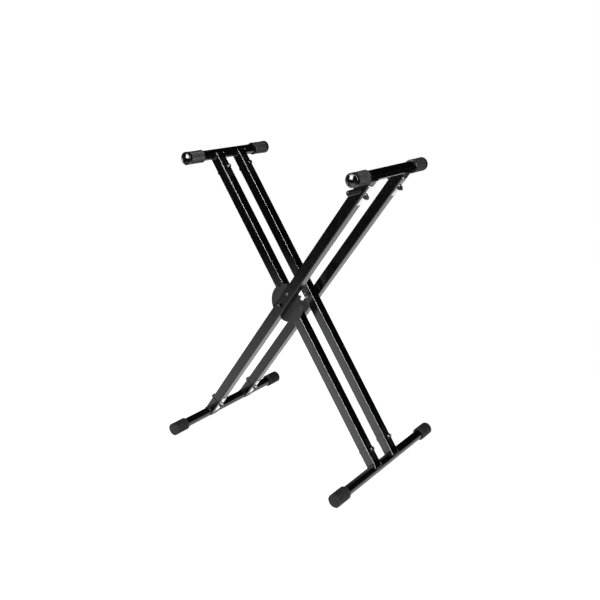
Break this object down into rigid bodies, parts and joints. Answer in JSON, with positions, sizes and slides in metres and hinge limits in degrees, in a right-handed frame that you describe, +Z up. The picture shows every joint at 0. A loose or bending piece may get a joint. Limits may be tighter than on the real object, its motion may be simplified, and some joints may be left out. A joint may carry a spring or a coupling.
{
  "type": "folding keyboard stand",
  "caption": "Folding X-frame keyboard stand with doubled square-tube legs, round top and foot bars, and a notched height lock with a squeeze release.",
  "frame": {"origin": "middle of the stand on the floor, below the pivot axis", "axes": "+Z up, Y along the pivot axis and the bars with -Y the side of the release handle, +X the side that the outer frame's top leans to"},
  "size_m": [0.6419, 0.493, 0.8558],
  "materials": {
    "leg_paint": "satin black powder coat",
    "bar_paint": "semi-gloss black powder coat",
    "disc_paint": "satin black powder coat",
    "zinc_steel": "bright zinc plate",
    "raw_steel": "plain drawn steel",
    "spring_steel": "oiled spring wire",
    "sleeve_rubber": "knurled black rubber",
    "foot_rubber": "ribbed dark grey rubber",
    "grip_rubber": "smooth dark grey rubber",
    "plug_gloss": "polished black",
    "nylon": "plain moulded nylon"
  },
  "bodies": {
    "inner_frame": {"inner_leg_front": "leg_paint", "inner_leg_rear": "leg_paint", "inner_top_bar": "bar_paint", "inner_foot_bar": "bar_paint", "inner_top_stub_front": "leg_paint", "inner_top_stub_rear": "leg_paint", "inner_foot_stub_front": "leg_paint", "inner_foot_stub_rear": "leg_paint", "inner_inserts": "raw_steel", "inner_bushes": "raw_steel", "lock_disc": "disc_paint", "inner_top_sleeve_front": "sleeve_rubber", "inner_top_sleeve_rear": "sleeve_rubber", "inner_end_plugs": "plug_gloss", "inner_foot_cap_rear": "foot_rubber", "inner_joint_bolts": "zinc_steel", "inner_joint_plates": "zinc_steel", "inner_joint_washers": "zinc_steel", "inner_spring_washers": "zinc_steel", "inner_joint_nuts": "zinc_steel"},
    "outer_frame": {"outer_leg_front": "leg_paint", "outer_leg_rear": "leg_paint", "outer_top_bar": "bar_paint", "outer_foot_bar": "bar_paint", "outer_top_stub_front": "leg_paint", "outer_top_stub_rear": "leg_paint", "outer_foot_stub_front": "leg_paint", "outer_foot_stub_rear": "leg_paint", "outer_inserts": "raw_steel", "outer_bushes": "raw_steel", "outer_top_sleeve_front": "sleeve_rubber", "outer_top_sleeve_rear": "sleeve_rubber", "outer_end_plugs": "plug_gloss", "outer_foot_cap_front": "foot_rubber", "outer_foot_cap_rear": "foot_rubber", "outer_joint_bolts": "zinc_steel", "outer_joint_plates": "zinc_steel", "outer_joint_washers": "zinc_steel", "outer_spring_washers": "zinc_steel", "outer_joint_nuts": "zinc_steel", "pivot_bolts": "zinc_steel", "pivot_washers": "zinc_steel", "pivot_nuts": "zinc_steel", "disc_washer": "nylon", "rear_spacer": "nylon", "return_spring": "spring_steel", "spring_seat": "nylon"},
    "release_latch": {"latch_slider": "nylon", "latch_tooth": "raw_steel", "guide_rivet": "zinc_steel", "pull_strip": "raw_steel", "release_handle": "zinc_steel", "handle_grip": "grip_rubber", "handle_button": "plug_gloss"},
    "level_foot": {"levelling_foot": "foot_rubber"}
  },
  "joints": [
    {"name": "fold", "type": "hinge", "parent": "inner_frame", "child": "outer_frame", "pos_m": [0, 0, 0.44708], "axis": [0, -1, 0], "range_deg": [-45, 64.4]},
    {"name": "release", "type": "slide", "parent": "outer_frame", "child": "release_latch", "axis": [0.5764, 0, 0.8171], "range_m": [-0.0062, 0], "deforming": ["return_spring"]},
    {"name": "level_foot_turn", "type": "hinge", "parent": "inner_frame", "child": "level_foot", "pos_m": [0.30205, -0.22075, 0.0189], "axis": [0, -1, 0], "continuous": true}
  ]
}
